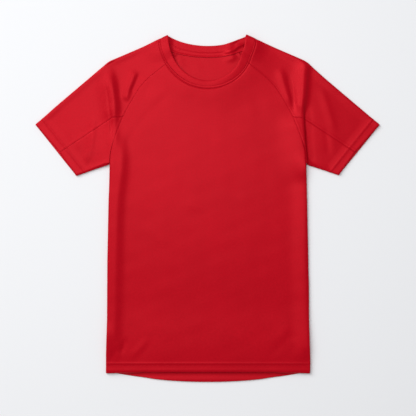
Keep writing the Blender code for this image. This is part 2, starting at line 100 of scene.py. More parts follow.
def movedLeft(path, distance):
    run = np.gradient(path, axis=0)
    run /= np.linalg.norm(run, axis=1)[:, None]
    return path + distance * np.stack([-run[:, 1], run[:, 0]], axis=1)


def spacing(length, step, atStart=(0,), atEnd=(0,)):
    # distances along a line: close together near its ends, even between
    start, end = list(atStart), [length - d for d in reversed(atEnd)]
    count = max(1, round((end[0] - start[-1]) / step))
    return np.concatenate([start[:-1], np.linspace(start[-1], end[0], count + 1), end[1:]])


def nearPath(x, y, path):
    # distance to a line of points, how far along it that is, and +1 on its left or -1 on its right
    best, along, side = np.full(x.shape, np.inf), np.zeros(x.shape), np.ones(x.shape)
    total, done = pathLength(path), 0
    for (px, py), (qx, qy) in zip(path[:-1], path[1:]):
        dx, dy = qx - px, qy - py
        length = math.hypot(dx, dy)
        t = np.clip(((x - px) * dx + (y - py) * dy) / length ** 2, 0, 1)
        offX, offY = x - px - t * dx, y - py - t * dy
        distance = np.hypot(offX, offY)
        near = distance < best
        best = np.where(near, distance, best)
        along = np.where(near, (done + t * length) / total, along)
        side = np.where(near, np.sign(dx * offY - dy * offX), side)
        done += length
    return best, along, side


# the cut: seam lines and folded edges as they lie, for the half of the shirt at +x

cut = {
    "hemY": frontLow[1],
    "tailDrop": frontLow[1] - backLow[1],
    "tailHalfWidth": 209,
    "tailBend": (-200, 148),
    "side": [(230, -369.7), (229.7, -346), (228.2, -294), (226.8, -250), (226, -116), (223.6, 0),
             (221.5, 100)],
    "frontRaglan": [(221.5, 100), (220, 125), (212.5, 152.5), (191.5, 207.5), (174, 240),
                    (144.5, 284), (91.5, 328.8)],
    "frontSeamAt": 3,  # the point of that line where the under-sleeve seam meets it
    "backRaglan": [(221.5, 100), (214, 132), (186, 192), (150, 254), (104, 316), (64, 360.6)],
    "backSeamAt": 2,
    "underarm": (221.5, 100),
    "shoulderTop": (108.1, 379.2),
    "hemDepth": 20,
    "cuffDepth": 22,
}
Rib = namedtuple("Rib", "under frontSeam backSeam top")
bendRib = Rib((229, 97), (214.5, 205.5), (214.5, 190), (221.5, 330.5))
cuffRib = Rib((295.5, 75.6), (331.5, 128.1), (334.8, 125.5), (387.2, 189.5))
neck = {
    "centreY": 388,
    "edge": (88.5, 99),  # half width and depth of the free edge
    "seam": (107.5, 111.2),
    "stitch": (111, 117.5),
    "edgeTurn": math.radians(1.2),
    "seamTurn": math.radians(6),
    "backEdge": (367.4, 18, 87),  # lowest y, rise at the side, half width
    "backSeam": (352, 25, 106),
    "tapeEdge": (tapeLow[1], 11, 80),
}
cloth = {
    "wall": 0.9,
    "hemWall": 2.0,
    "hemTurn": (22, 2),  # where the doubled hem ends, and over what length
    "halfGap": 0.02,  # a panel stops this far short of its seam line
    "edgeRadius": 2.4,
    "sideSeam": 3.9,  # height of the side seam
    "sideGap": 0.15,
    "edgeTurn": (158, 40),  # side edges are folded below this y
}


def insideCuff(x, y):
    (sx, sy), (ex, ey) = cuffRib.under, cuffRib.top
    return ((ey - sy) * (sx - x) + (ex - sx) * (y - sy)) / math.hypot(ex - sx, ey - sy)


def ribInside(depth):
    points = []
    for bend, cuff in zip(bendRib, cuffRib):
        share = depth / (insideCuff(*bend) - insideCuff(*cuff))
        points.append((mix(cuff[0], bend[0], share), mix(cuff[1], bend[1], share)))
    return Rib(*points)


def ellipsePoint(axes, angle):
    return np.stack([axes[0] * np.cos(angle), neck["centreY"] - axes[1] * np.sin(angle)], axis=-1)


def backCurve(curve, x):
    return curve[0] + curve[1] * (x / curve[2]) ** 2


def halfWidthAt(y):
    rows = np.array(cut["side"])
    return np.interp(y, rows[:, 1], rows[:, 0])


splineSteps = 20
frontRaglan = splineThrough(cut["frontRaglan"], splineSteps)
backRaglan = splineThrough(cut["backRaglan"], splineSteps)


# how the top layer lies: its height over the table

lie = {
    "flat": 3.1,
    "lowest": 2.5,
    "softness": 0.5,
    "overHems": 7.8,
    "overCuffs": 4.6,
    "atNeck": 6.5,
    "neckClimb": 42,
    "hemClimb": (3, 150),
    "cuffClimb": (-6, 22),
    "hemDroop": (0.3, 120),
    "topFold": (1.5, 4, 9),  # height, distance in, half width
    "underFold": (1.2, 3, 8),
    # distance from the edge, half width, height
    "hemPuckers": ((22.8, 2.1, 0.55), (6.8, 4.6, 0.70)),
    "cuffPuckers": ((21.6, 2.1, 0.40), (4.0, 7.0, 0.80)),
    # the drop tail rises toward its edge: start below the hem, length, height
    "tailLift": (3, 12, 1.5),
    "underCuffLift": 0.2,  # along the stitches of the underside
    "hemStitches": (17.8, 23.0),
    "cuffStitches": (17.0, 22.0),
    "stitchGroove": (1.3, 0.12),  # half width, depth
    "neckGroove": (1.3, 0.75),
    "neckRidge": (110.0, 114.6, 2.0, 0.16),  # two half axes, half width, height
}

# A crease is a path, a half width, a height, a lean and a fade. It sinks where its height is negative.
# The lean makes it gentler on the left of its path and steeper on the right. The fade is the share of
# its length that its ends take, or one share for the start and one for the end.
creases = [
    # loose rolls inside the side edges
    ([(-200, 198), (-197, 104), (-206, 16), (-210, -110), (-212, -230), (-217, -350)],
     38, 5.0, -0.6, (0.18, 0.13)),
    ([(217, 136), (219, 60), (219, -60), (220, -180), (224, -345)], 14.5, 4.4, -0.42, (0.13, 0.08)),
    # pinch from the shoulder to the underarm, wearer's right
    ([(-224, 332), (-220, 300), (-215, 270), (-211, 235), (-208, 180)], 17, 5.9, -0.33, (0.4, 0.46)),
    ([(-213, 244), (-212, 198), (-210, 160), (-206, 110)], 14, 2.5, -0.25, (0.26, 0.4)),
    ([(-230, 296), (-224.5, 255), (-222.5, 230), (-219, 200), (-219, 150)], 3.2, -1.1, 0, (0.35, 0.25)),
    ([(-161, 316), (-170, 290), (-179, 266), (-186, 238)], 9.5, 2.2, -0.25, (0.25, 0.2)),
    ([(-148, 312), (-160, 286), (-175, 254)], 5.5, -1.2, 0, 0.3),
    # the same, wearer's left: broad, with a steep outer side
    ([(219, 342), (217, 300), (214.5, 260), (210.5, 225), (210, 194)], 12.5, 6.6, -0.24, (0.2, 0.27)),
    ([(211, 228), (210.5, 194), (214, 160), (216, 122), (218, 84), (219, 52)],
     25, 6.0, -0.5, (0.24, 0.36)),
    ([(219, 250), (219.5, 206), (221.5, 160), (225, 120), (227, 92)], 6.5, -4.4, 0.6, (0.36, 0.16)),
    ([(178, 312), (185.5, 284), (191, 258), (193.5, 236), (196, 216)], 6.2, -2.4, 0, (0.38, 0.25)),
    ([(160, 322), (168, 290), (178, 258), (188, 230)], 8.5, 1.6, -0.1, 0.25),
    # the cloth stands round the neckline, most at the wearer's left
    ([(-82, 400), (-88, 368), (-82, 330)], 40, 3.2, 0, 0.4),
    ([(66, 410), (68, 370), (64, 330)], 36, 6.0, 0, 0.4),
    ([(107, 404), (106, 376), (99, 348), (84, 322)], 18, 2.2, 0, 0.35),
    # across the chest, wearer's right
    ([(-76, 266), (-112, 236), (-142, 208), (-176, 160), (-182, 124)], 9, -0.35, 0.2, 0.22),
    ([(-96, 268), (-120, 254), (-144, 232)], 9, 0.35, 0, 0.35),
    ([(-124, 292), (-134, 274), (-146, 252)], 6, -0.4, 0, 0.35),
    # faint drag lines down the middle
    ([(2, 188), (5, 140), (1, 92)], 7, -0.15, 0, 0.4),
    ([(-30, 176), (-26, 130), (-29, 86)], 9, 0.12, 0, 0.4),
    ([(-60, 92), (-56, 58), (-59, 30)], 8, -0.12, 0, 0.4),
    ([(92, 262), (112, 230), (124, 190)], 12, -0.2, 0, 0.4),
    ([(-64, 20), (-30, 2), (8, -6)], 8, 0.14, 0, 0.4),
    ([(34, 60), (62, 40), (92, 34)], 9, -0.14, 0, 0.4),
    ([(-150, -30), (-112, -66), (-70, -84)], 12, 0.2, 0, 0.4),
    # drawn up from the hem corners
    ([(-132, -286), (-156, -316), (-182, -340)], 8, 0.55, 0, 0.35),
    ([(-122, -292), (-146, -322), (-168, -344)], 9, -0.3, 0, 0.35),
    ([(-183, -284), (-189, -308), (-200, -332)], 5.5, -0.9, 0, 0.4),
    ([(-203, -306), (-209, -324), (-219, -345)], 5, -0.8, 0, 0.4),
    ([(-198, -286), (-204, -322), (-212, -346)], 7, 0.6, 0, 0.35),
    ([(-226, -250), (-224, -300), (-226, -345)], 7, 1.2, 0, 0.35),
    ([(186, -262), (180, -284), (158, -312), (132, -338)], 9, -0.45, 0, 0.3),
    ([(176, -236), (172, -280), (156, -318)], 16, 0.7, -0.2, 0.4),
    ([(196, -276), (192, -288), (186, -298)], 9, -0.3, 0, 0.4),
    ([(190, -316), (206, -330), (220, -344)], 9, 0.4, 0, 0.4),
    # sleeves
    ([(-256, 214), (-260, 168), (-266, 130), (-279, 92)], 8, 1.3, 0, 0.25),
    ([(-284, 176), (-288, 150), (-292, 122)], 6, 0.55, 0, 0.4),
    ([(-302, 172), (-305, 150), (-308, 130)], 6, 0.4, 0, 0.4),
    ([(-236, 308), (-290, 264), (-348, 214)], 10, -0.4, 0, 0.25),
    ([(250, 284), (266, 238), (280, 192), (288, 160)], 10, 0.85, -0.1, 0.28),
    ([(262, 190), (268, 150), (272, 112)], 7, -0.5, 0, 0.35),
    ([(278, 178), (281, 150), (288, 118)], 9, 0.25, 0, 0.35),
    ([(110, 360), (126, 352), (142, 342)], 12, -0.4, 0, 0.35),
]
backCreases = [
    # the back of the neck stands a little at the wearer's left
    ([(30, 350), (50, 354), (68, 361), (88, 373)], 4.4, 2.6, 0, 0.35),
    ([(38, 369), (58, 374), (76, 382)], 3.4, 1.3, 0, 0.35),
    ([(30, 332), (54, 338), (78, 346)], 5, 0.5, 0, 0.4),
    ([(48, 376), (53, 352), (60, 326)], 13, 1.7, -0.2, 0.35),
    # and comes up under the band at the wearer's right
    ([(-89, 404), (-92, 366), (-86, 330), (-68, 298)], 8.5, 4.6, 0, 0.25),
    ([(-66, 350), (-62, 332), (-54, 312)], 7, 0.5, 0, 0.35),
    ([(-26, 334), (-22, 318), (-24, 300)], 9, 0.2, 0, 0.4),
    ([(-150, 190), (-120, 120), (-110, 40)], 12, 0.5, 0, 0.35),
    ([(140, 150), (124, 70), (130, -20)], 10, 0.4, 0, 0.35),
    ([(-60, -120), (-72, -200), (-54, -280)], 11, 0.35, 0, 0.35),
    ([(90, -180), (76, -240), (88, -310)], 9, 0.35, 0, 0.35),
]

# Where the shirt lies a little off its cut: along a line, how wide, and how far it is moved across and up.
shifts = [
    ([(-221, 330), (-387, 190)], 70, (-1.9, 2.4)),
    ([(-387, 190), (-296, 76)], 36, (-2.0, -1.5)),
    ([(-200, 340), (-124, 373)], 40, (-1.0, 2.5)),
    ([(200, 340), (124, 373)], 40, (1.0, 2.5)),
    ([(387, 190), (296, 76)], 36, (-0.2, 0.2)),
    ([(86, 400), (86, 356)], 30, (-6.4, 1.8)),
    ([(-88, 392), (-90, 380)], 24, (-0.3, 1.6)),
    ([(-120, -386), (120, -386)], 12, (0, -0.9)),
    ([(-150, -369), (150, -369)], 7, (0, 1.3)),
    ([(-224, 20), (-228, -320)], 20, (-0.7, 0)),
    ([(226, -170), (230, -340)], 20, (1.0, 0)),
]


def asLaid(points):
    moved, weights = np.zeros(points.shape[:-1] + (2,)), np.zeros(points.shape[:-1])
    for path, half, move in shifts:
        weight = bump(nearPath(points[..., 0], points[..., 1], np.array(path, float))[0], half)
        moved += weight[..., None] * np.array(move)
        weights += weight
    laid = np.array(points, float)
    laid[..., :2] += moved / np.maximum(weights, 1)[..., None]
    return laid


# faint waves all over
ripple = {"seed": 7, "waves": 16, "height": 0.10, "shortest": 34, "longest": 110}
creaseSteps = 6  # points on each span of a crease's path
creaseReach = 3  # half widths past which a crease is left out


def rippleHeight(x, y):
    rng = np.random.default_rng(ripple["seed"])
    total = np.zeros(x.shape)
    for k in range(ripple["waves"]):
        length = rng.uniform(ripple["shortest"], ripple["longest"])
        angle, phase = rng.uniform(0, 2 * math.pi, 2)
        total += np.sin((x * math.cos(angle) + y * math.sin(angle)) * 2 * math.pi / length + phase)
    return ripple["height"] * total / math.sqrt(ripple["waves"])


def creaseHeight(x, y, rows):
    total = np.zeros(x.shape)
    for points, half, height, lean, fade in rows:
        path = splineThrough(points, creaseSteps)
        reach = creaseReach * half * (1 + abs(lean))
        low, high = path.min(axis=0) - reach, path.max(axis=0) + reach
        near = (x > low[0]) & (x < high[0]) & (y > low[1]) & (y < high[1])
        if not near.any():
            continue
        distance, along, side = nearPath(x[near], y[near], path)
        start, end = np.broadcast_to(fade, 2)
        ends = smooth(along / start) * smooth((1 - along) / end)
        total[near] += height * ends * bump(distance, half * (1 + lean * side))
    return total


def outsideEllipse(axes, x, y):
    reach = np.hypot(x / axes[0], (y - neck["centreY"]) / axes[1])
    return (reach - 1) * np.hypot(x, y - neck["centreY"]) / np.maximum(reach, 1e-6)


def foldRise(stand, x, y, start, end):
    distance = nearPath(np.abs(x), y, np.array([start, end], float))[0]
    return stand[0] * bump(distance - stand[1], stand[2])


farAway = 1000


def topHeight(x, y):
    x, y = np.broadcast_arrays(np.asarray(x, float), np.asarray(y, float))
    fromHem = y - cut["hemY"]
    # the line of a cuff runs on across the body, where it counts for nothing
    beside = np.abs(x) > cut["side"][0][0]
    fromCuff = np.where(beside, insideCuff(np.abs(x), y), farAway)
    outside = np.clip(outsideEllipse(neck["seam"], x, y), 0, None)
    hemStart = cut["hemDepth"] + sum(lie["hemClimb"])
    cuffStart = cut["cuffDepth"] + sum(lie["cuffClimb"])
    droop = lie["hemDroop"][0] * bump(x, lie["hemDroop"][1])
    rises = [
        (lie["atNeck"] - lie["flat"]) * bump(outside, lie["neckClimb"]),
        (lie["overHems"] - lie["flat"] - droop) * smooth((hemStart - fromHem) / lie["hemClimb"][1]),
        (lie["overCuffs"] - lie["flat"]) * smooth((cuffStart - fromCuff) / lie["cuffClimb"][1]),
        np.maximum(foldRise(lie["topFold"], x, y, cut["shoulderTop"], bendRib.top),
                   foldRise(lie["topFold"], x, y, bendRib.top, cuffRib.top)),
        foldRise(lie["underFold"], x, y, bendRib.under, cuffRib.under),
    ]
    z = lie["flat"] + sum(rise ** 3 for rise in rises) ** (1 / 3)
    z = z + creaseHeight(x, y, creases) + rippleHeight(x, y)
    over = z - lie["lowest"]
    z = lie["lowest"] + 0.5 * (over + np.hypot(over, lie["softness"]))
    grooveHalf, groove = lie["stitchGroove"]
    for away, edge in ((fromHem, "hem"), (fromCuff, "cuff")):
        for at, half, height in lie[edge + "Puckers"]:
            z = z + height * bump(away - at, half)
        for at in lie[edge + "Stitches"]:
            z = z - groove * bump(away - at, grooveHalf)
    *axes, half, height = lie["neckRidge"]
    z = z + height * bump(outsideEllipse(axes, x, y), half)
    return z - lie["neckGroove"][1] * bump(outsideEllipse(neck["stitch"], x, y), lie["neckGroove"][0])


def raisedBy(heightAt, plan):
    return np.concatenate([plan, heightAt(plan[..., 0], plan[..., 1])[..., None]], axis=-1)


def onTop(plan):
    return raisedBy(topHeight, plan)


def underHeight(x, y):
    # the underside lies on the table, lifted a little along its stitches and creases
    x, y = np.broadcast_arrays(np.asarray(x, float), np.asarray(y, float))
    z = np.maximum(creaseHeight(x, y, backCreases), 0)
    start, length, height = lie["tailLift"]
    z = z + height * smooth((cut["hemY"] - start - y) / length)
    for at in lie["cuffStitches"]:
        z = z + lie["underCuffLift"] * bump(insideCuff(np.abs(x), y) - at, lie["stitchGroove"][0])
    return z


def onTable(plan):
    return raisedBy(underHeight, plan)


# shells of cloth

lipSteps = (0, 0.12, 0.32, 0.62, 1.05, 1.65, 2.5, 3.5)
# How a panel's edge is finished: the round of its rim, the dip beside a seam, the ridge beyond that,
# the sag of a free edge, and the turned-back cloth inside a seam. share may vary along the edge.
Lip = namedtuple("Lip", "round valley ridge sag allowance share", defaults=(0, 0, 0, 0, 1))
bodySeam = Lip(0.28, valley=0.20, allowance=0.7)
sleeveSeam = Lip(0.28, valley=0.06, ridge=0.14, allowance=0.7)
upperSeam = Lip(0.35, valley=0.05, ridge=0.24, allowance=0.5)
underSeam = Lip(0.35, valley=0.40, allowance=0.5)
neckSeam = Lip(0.16, valley=0.05, allowance=0.3)
freeHem = Lip(1.0, sag=2.9)
freeCuff = Lip(1.0, sag=0.5)
flatHem = Lip(1.0)
rawEdge = Lip(0.3)
bandEdge = Lip(0.7, sag=0.45)
bandSeam = Lip(0.2, valley=0.06)
edging = {
    "valleyHalf": 1.7,
    "ridge": (3.4, 2.2),  # distance from the edge, half width
    "sagReach": 3.4,
    "allowance": (5.0, 1.5),  # how far in it ends, and over what length
    "closing": 1.94,  # how fast the two faces meet round a rim
    "thinnest": 0.05,
}


def runsFrom(grid, axis):
    steps = np.linalg.norm(np.diff(grid, axis=axis), axis=2)
    pad = np.zeros_like(np.take(steps, [0], axis=axis))
    return np.concatenate([pad, np.cumsum(steps, axis=axis)], axis=axis)


def normalsOf(grid, ring):
    if ring:
        around = np.concatenate([grid[-1:], grid, grid[:1]])
        down = around[2:] - around[:-2]
    else:
        down = np.gradient(grid, axis=0)
    normal = np.cross(np.gradient(grid, axis=1), down)
    return normal / np.maximum(np.linalg.norm(normal, axis=2), 1e-9)[..., None]


def measured(grid, ring=False):
    # area of one layer in square metres
    closed = np.concatenate([grid, grid[:1]]) if ring else grid
    a, b = closed[1:, 1:] - closed[:-1, :-1], closed[1:, :-1] - closed[:-1, 1:]
    return float(np.linalg.norm(np.cross(a, b), axis=2).sum() / 2 * 1e-6)


def shell(name, grid, wall, lips, material, ring=False, turned=False):
    # lips: first row, last row, first column, last column, and None where the grid closes on itself
    # turned: the grid's own order runs the other way round, so its faces are flipped
    facing = -1 if turned else 1
    area = measured(grid, ring)
    grid = asLaid(grid)
    normal = facing * normalsOf(grid, ring)
    across, along = runsFrom(grid, 1), runsFrom(grid, 0)
    wall = np.broadcast_to(wall, grid.shape[:2]).astype(float)
    drop, dip = np.zeros(grid.shape[:2]), np.zeros(grid.shape[:2])
    distances = (along, along[-1:] - along, across, across[:, -1:] - across)
    ridgeAt, ridgeHalf = edging["ridge"]
    allowanceEnd, allowanceFade = edging["allowance"]
    for lip, distance in zip(lips, distances):
        if lip is None:
            continue
        radius = min(lip.round, float(wall.max()) / 2)
        t = np.clip(1 - distance / radius, 0, 1)
        drop = np.maximum(drop, lip.share * radius * (1 - np.sqrt(np.maximum(1 - t * t, 0))))
        dip = dip + lip.share * (lip.valley * bump(distance, edging["valleyHalf"])
                                 - lip.ridge * bump(distance - ridgeAt, ridgeHalf)
                                 + lip.sag * np.clip(1 - distance / edging["sagReach"], 0, 1) ** 2)
        wall = wall + lip.share * lip.allowance * smooth((allowanceEnd - distance) / allowanceFade)
    outer = grid - normal * (drop + dip)[..., None]
    inner = outer - normal * np.maximum(wall - edging["closing"] * drop, edging["thinnest"])[..., None]
    for side in (outer, inner):
        side[..., 2] = np.maximum(side[..., 2], 0)

    rows, columns = grid.shape[:2]
    index = np.arange(rows * columns).reshape(rows, columns)
    below = np.roll(index, -1, axis=0) if ring else index[1:]
    above = index if ring else index[:-1]
    quads = np.stack([above[:, :-1], above[:, 1:], below[:, 1:], below[:, :-1]], axis=-1).reshape(-1, 4)
    back = quads[:, ::-1] + rows * columns
    rims = []
    sides = [index[:, 0][::-1], index[:, -1]]
    if ring:
        sides = [np.append(side, side[0]) for side in sides]
    else:
        sides += [index[0], index[-1][::-1]]
    for side in sides:
        a, b = side[:-1], side[1:]
        rims.append(np.stack([b, a, a + rows * columns, b + rows * columns], axis=-1))
    faces = np.concatenate([quads, back, *rims])
    if turned:
        faces = faces[:, ::-1]

    mesh = bpy.data.meshes.new(name)
    points = np.concatenate([outer.reshape(-1, 3), inner.reshape(-1, 3)]) * 0.001
    mesh.from_pydata(points.tolist(), [], faces.tolist())
    flat = np.stack([across, along], axis=-1).reshape(-1, 2) * 0.001
    layer = mesh.uv_layers.new(name="cloth")
    loops = np.zeros(len(mesh.loops), np.int32)
    mesh.loops.foreach_get("vertex_index", loops)
    layer.data.foreach_set("uv", np.concatenate([flat, flat])[loops].ravel())
    mesh.materials.append(material)
    mesh.shade_smooth()
    mesh.update()
    print(name, len(faces))
    return newPiece(name, mesh), area


# shader maths

def addNode(tree, kind, settings, inputs):
    made = tree.nodes.new(kind)
    for key, value in settings.items():
        setattr(made, key, value)
    for key, value in inputs.items():
        feed(tree, made.inputs[key.replace("_", " ") if isinstance(key, str) else key], value)
    return made


def feed(tree, socket, value):
    if isinstance(value, Wire):
        value = value.socket
    if isinstance(value, bpy.types.NodeSocket):
        tree.links.new(value, socket)
    else:
        socket.default_value = value


class Wire:
    def __init__(self, shader, socket):
        self.shader, self.socket = shader, socket

    def maths(self, operation, *values):
        node = self.shader.node("ShaderNodeMath", {"operation": operation}, *values)
        return Wire(self.shader, node.outputs[0])

    def fraction(self):
        return self.maths("FRACT", self)

    def size(self):
        return self.maths("ABSOLUTE", self)

    def sine(self):
        return self.maths("SINE", self)


for sign, operation in (("add", "ADD"), ("sub", "SUBTRACT"), ("mul", "MULTIPLY"), ("truediv", "DIVIDE")):
    setattr(Wire, f"__{sign}__", lambda self, other, kind=operation: self.maths(kind, self, other))
    setattr(Wire, f"__r{sign}__", lambda self, other, kind=operation: self.maths(kind, other, self))


class Shader:
    def __init__(self, name):
        self.material = bpy.data.materials.new(name)
        self.material.use_nodes = True
        self.tree = self.material.node_tree
        self.surface = self.tree.nodes["Principled BSDF"]

    def node(self, kind, settings, *values, **named):
        return addNode(self.tree, kind, settings, {**dict(enumerate(values)), **named})

    def paint(self, **values):
        for key, value in values.items():
            feed(self.tree, self.surface.inputs[key.replace("_", " ")], value)

    def objectPlace(self):
        return Wire(self, self.node("ShaderNodeTexCoord", {}).outputs["Object"])

    def noise(self, where, scale, detail=2.0):
        made = self.node("ShaderNodeTexNoise", {}, Vector=where, Scale=scale, Detail=detail)
        return Wire(self, made.outputs["Fac"])

    def blend(self, share, first, second):
        sockets = {0: share, 6: (*first, 1), 7: (*second, 1)}  # a colour mix has its own numbered sockets
        made = addNode(self.tree, "ShaderNodeMix", {"data_type": "RGBA"}, sockets)
        return Wire(self, made.outputs[2])


finish = {
    "deep": (0.431, 0.0001, 0.0076),
    "bright": (0.500, 0.0002, 0.0094),
    "roughness": 0.356,
    "metallic": 0.186,
    "specular": 0.094,
    "wale": 0.0009,  # width of a column of loops, in metres
    "course": 0.0007,  # height of a row of loops
    "slant": 0.45,  # how far a loop leans over its column
    "relief": 0.00005,
    "bumpStrength": 0.35,
    "ribbedRelief": 1.6,
    "grainRelief": 0.5,
    "patchScale": 9.0,
    "grainScale": 260.0,
    "toneAndLoopShade": (0.9, 1.5, 0.35),  # of the colour: random tone by broad patches and fine grain, and painted shade between the loops
    "unevenness": (0.12, 0.06),  # of the roughness, by the grain and the loops
}
threadLook = {
    "deep": (0.37, 0.0018, 0.010),
    "bright": (0.48, 0.0035, 0.014),
    "twistScale": 900.0,
    "roughness": 0.45,
    "specular": 0.2,
}


def knit(name, tint=1.0, ribbed=False):
    shader = Shader(name)
    where = shader.objectPlace()
    flat = Wire(shader, shader.node("ShaderNodeUVMap", {"uv_map": "cloth"}).outputs["UV"])
    split = shader.node("ShaderNodeSeparateXYZ", {}, flat)
    u, v = Wire(shader, split.outputs[0]), Wire(shader, split.outputs[1])
    column = ((u / finish["wale"]).fraction() - 0.5).size() * 2
    loop = ((v / finish["course"] + column * finish["slant"]) * (2 * math.pi)).sine() * 0.5 + 0.5
    relief = (1 - column) * (loop * 0.45 + 0.55)
    patches = shader.noise(where, finish["patchScale"], 3.0)
    grain = shader.noise(where, finish["grainScale"])
    byPatch, byGrain, byLoop = finish["toneAndLoopShade"]
    # random tone from the patches and grain, plus painted shade that darkens the colour between the knit
    # loops
    shade = (patches - 0.5) * byPatch + (grain - 0.5) * byGrain + (relief - 0.5) * byLoop + 0.5
    deep = tuple(tint * c for c in finish["deep"])
    bright = tuple(tint * c for c in finish["bright"])
    byGrain, byLoop = finish["unevenness"]
    roughness = (grain - 0.5) * byGrain + (0.5 - relief) * byLoop + finish["roughness"]
    raised = relief * (finish["ribbedRelief"] if ribbed else 1.0) + grain * finish["grainRelief"]
    bumped = shader.node("ShaderNodeBump", {}, Strength=finish["bumpStrength"], Distance=finish["relief"],
                         Height=raised)
    shader.paint(Base_Color=shader.blend(shade, deep, bright), Roughness=roughness,
                 Normal=Wire(shader, bumped.outputs[0]), Metallic=finish["metallic"],
                 Specular_IOR_Level=finish["specular"])
    return shader.material


def sewingThread():
    shader = Shader("sewing_thread")
    twist = shader.noise(shader.objectPlace(), threadLook["twistScale"])
    shader.paint(Base_Color=shader.blend(twist, threadLook["deep"], threadLook["bright"]),
                 Roughness=threadLook["roughness"], Specular_IOR_Level=threadLook["specular"])
    return shader.material


jerseyFinish = knit("polyester_jersey")
ribFinish = knit("neck_rib", 1.02, ribbed=True)
tapeFinish = knit("neck_strip", 1.03)
threadFinish = sewingThread()
print("finishes made")


# body

body = {
    "columnStep": 3.5,
    "rowStep": 3.2,
    "raglanStep": 3.0,
    "backStep": 6.0,
    "besideBackEdge": [6, 10, 16],
    "besideEdge": [4.5, 6.5, 9, 12, 15, 18.5, 22, 26, 30, 34],
    "besideNeck": [4.3, 5.2, 6.1, 7, 8, 9, 10, 11, 12, 13, 14, 15.2, 17],
    "hemRows": [0, 0.15, 0.4, 0.8, 1.3, 2.2, 4, 6.5, 9.5, 12.5, 15, 16.2, 16.9, 17.6, 18.3, 19, 19.7,
                20.4, 21.1, 21.8, 22.4, 23, 23.7, 24.6, 26, 28, 31],
    "cornerHem": (222, 22, 0.4),  # the hem sags less past this, over this length, down to this share
    "frontBow": 60,  # rows bow towards the neck above this y
    "backBow": 200,
    "bowPower": 1.5,
}
roundTurns = np.linspace(0, math.pi / 2, 9)
roundInsets = cloth["edgeRadius"] * (1 - np.cos(roundTurns))
roundHeights = np.sin(roundTurns)
seamInsets = np.array([0, 0.14, 0.36, 0.68, 1.1, 1.6, 2.2, 2.9, 3.6])


def bodyEdge(raglan, rowStep):
    hemY, top = cut["hemY"], cut["side"][-1][1]
    ys = hemY + spacing(top - hemY, rowStep, atStart=body["hemRows"])
    side = np.stack([halfWidthAt(ys) - cloth["halfGap"], ys], axis=1)
    line = movedLeft(raglan, cloth["halfGap"])
    atNeck = [*lipSteps, *body["besideNeck"]]
    line = alongPath(line, spacing(pathLength(line), body["raglanStep"], atEnd=atNeck))
    return np.vstack([side, line[1:]])


def bodyRow(xEdge, turned, beside, step):
    insets = np.concatenate([mix(seamInsets, roundInsets, turned), beside])
    inner = xEdge - insets[-1]
    count = round(2 * (cut["side"][0][0] - insets[-1]) / step)
    middle = np.linspace(-inner, inner, count + 1)[1:-1]
    return np.concatenate([insets - xEdge, middle, (xEdge - insets)[::-1]])


def turnEdges(z, turned, gap):
    for k, height in enumerate(roundHeights):
        for column in (k, len(z) - 1 - k):
            z[column] = mix(z[column], cloth["sideSeam"] + gap, turned * (1 - height))


def bowShare(yEdge, start, neckY):
    return max(0, (yEdge - start) / (neckY - start)) ** body["bowPower"]


def turnedShare(yEdge):
    return float(smooth((cloth["edgeTurn"][0] - yEdge) / cloth["edgeTurn"][1]))


def hemmedWall(fromEdge):
    end, fade = cloth["hemTurn"]
    return mix(cloth["hemWall"], cloth["wall"], smooth((fromEdge - end) / fade))


def frontRow(x, xEdge, yEdge, neckX, neckY):
    halfWidth, depth = neck["seam"][0] + cloth["halfGap"], neck["seam"][1] + cloth["halfGap"]
    share = np.clip(np.abs(x) / xEdge, 0, 1) * neckX
    arc = neck["centreY"] - depth * np.sqrt(1 - (share / halfWidth) ** 2)
    sag = (neckY - neck["centreY"] + depth) * bowShare(yEdge, body["frontBow"], neckY)
    return yEdge - sag * (arc[0] - arc) / (arc[0] - arc.min())


def backRow(x, xEdge, yEdge, neckX, neckY):
    tail = smooth((cut["tailBend"][0] - yEdge) / cut["tailBend"][1])
    drop = cut["tailDrop"] * np.clip(1 - (x / cut["tailHalfWidth"]) ** 2, 0, 1)
    neckLow = neck["backSeam"][0] - cloth["halfGap"]
    bow = (neckY - neckLow) * bowShare(yEdge, body["backBow"], neckY) * (1 - (x / xEdge) ** 2)
    return yEdge - tail * drop - bow


def bodyGrid(edge, rowOf, laid, beside, step, gap):
    rows, turns = [], []
    for xEdge, yEdge in edge:
        turns.append(turnedShare(yEdge))
        x = bodyRow(xEdge, turns[-1], beside, step)
        rows.append(np.stack([x, rowOf(x, xEdge, yEdge, *edge[-1])], axis=1))
    grid = laid(np.array(rows))
    for row, turned in zip(grid, turns):
        turnEdges(row[:, 2], turned, gap)
    return grid, bodySeam._replace(share=(1 - np.array(turns))[:, None])


grid, raglanLip = bodyGrid(bodyEdge(frontRaglan, body["rowStep"]), frontRow, onTop, body["besideEdge"],
                           body["columnStep"], cloth["sideGap"])
cornerAt, cornerLength, cornerShare = body["cornerHem"]
fromCorner = cornerAt - np.abs(grid[0, :, 0])
hemLip = freeHem._replace(share=mix(cornerShare, 1, smooth(fromCorner / cornerLength)))
front, frontArea = shell("front_panel", grid, hemmedWall(grid[..., 1] - cut["hemY"]),
                         (hemLip, neckSeam, raglanLip, raglanLip), jerseyFinish)

grid, raglanLip = bodyGrid(bodyEdge(backRaglan, body["backStep"]), backRow, onTable, body["besideBackEdge"],
                           body["backStep"], -cloth["sideGap"])
back, backArea = shell("back_panel", grid, hemmedWall(runsFrom(grid, 0)),
                       (flatHem, neckSeam, raglanLip, raglanLip), jerseyFinish, turned=True)


# sleeves

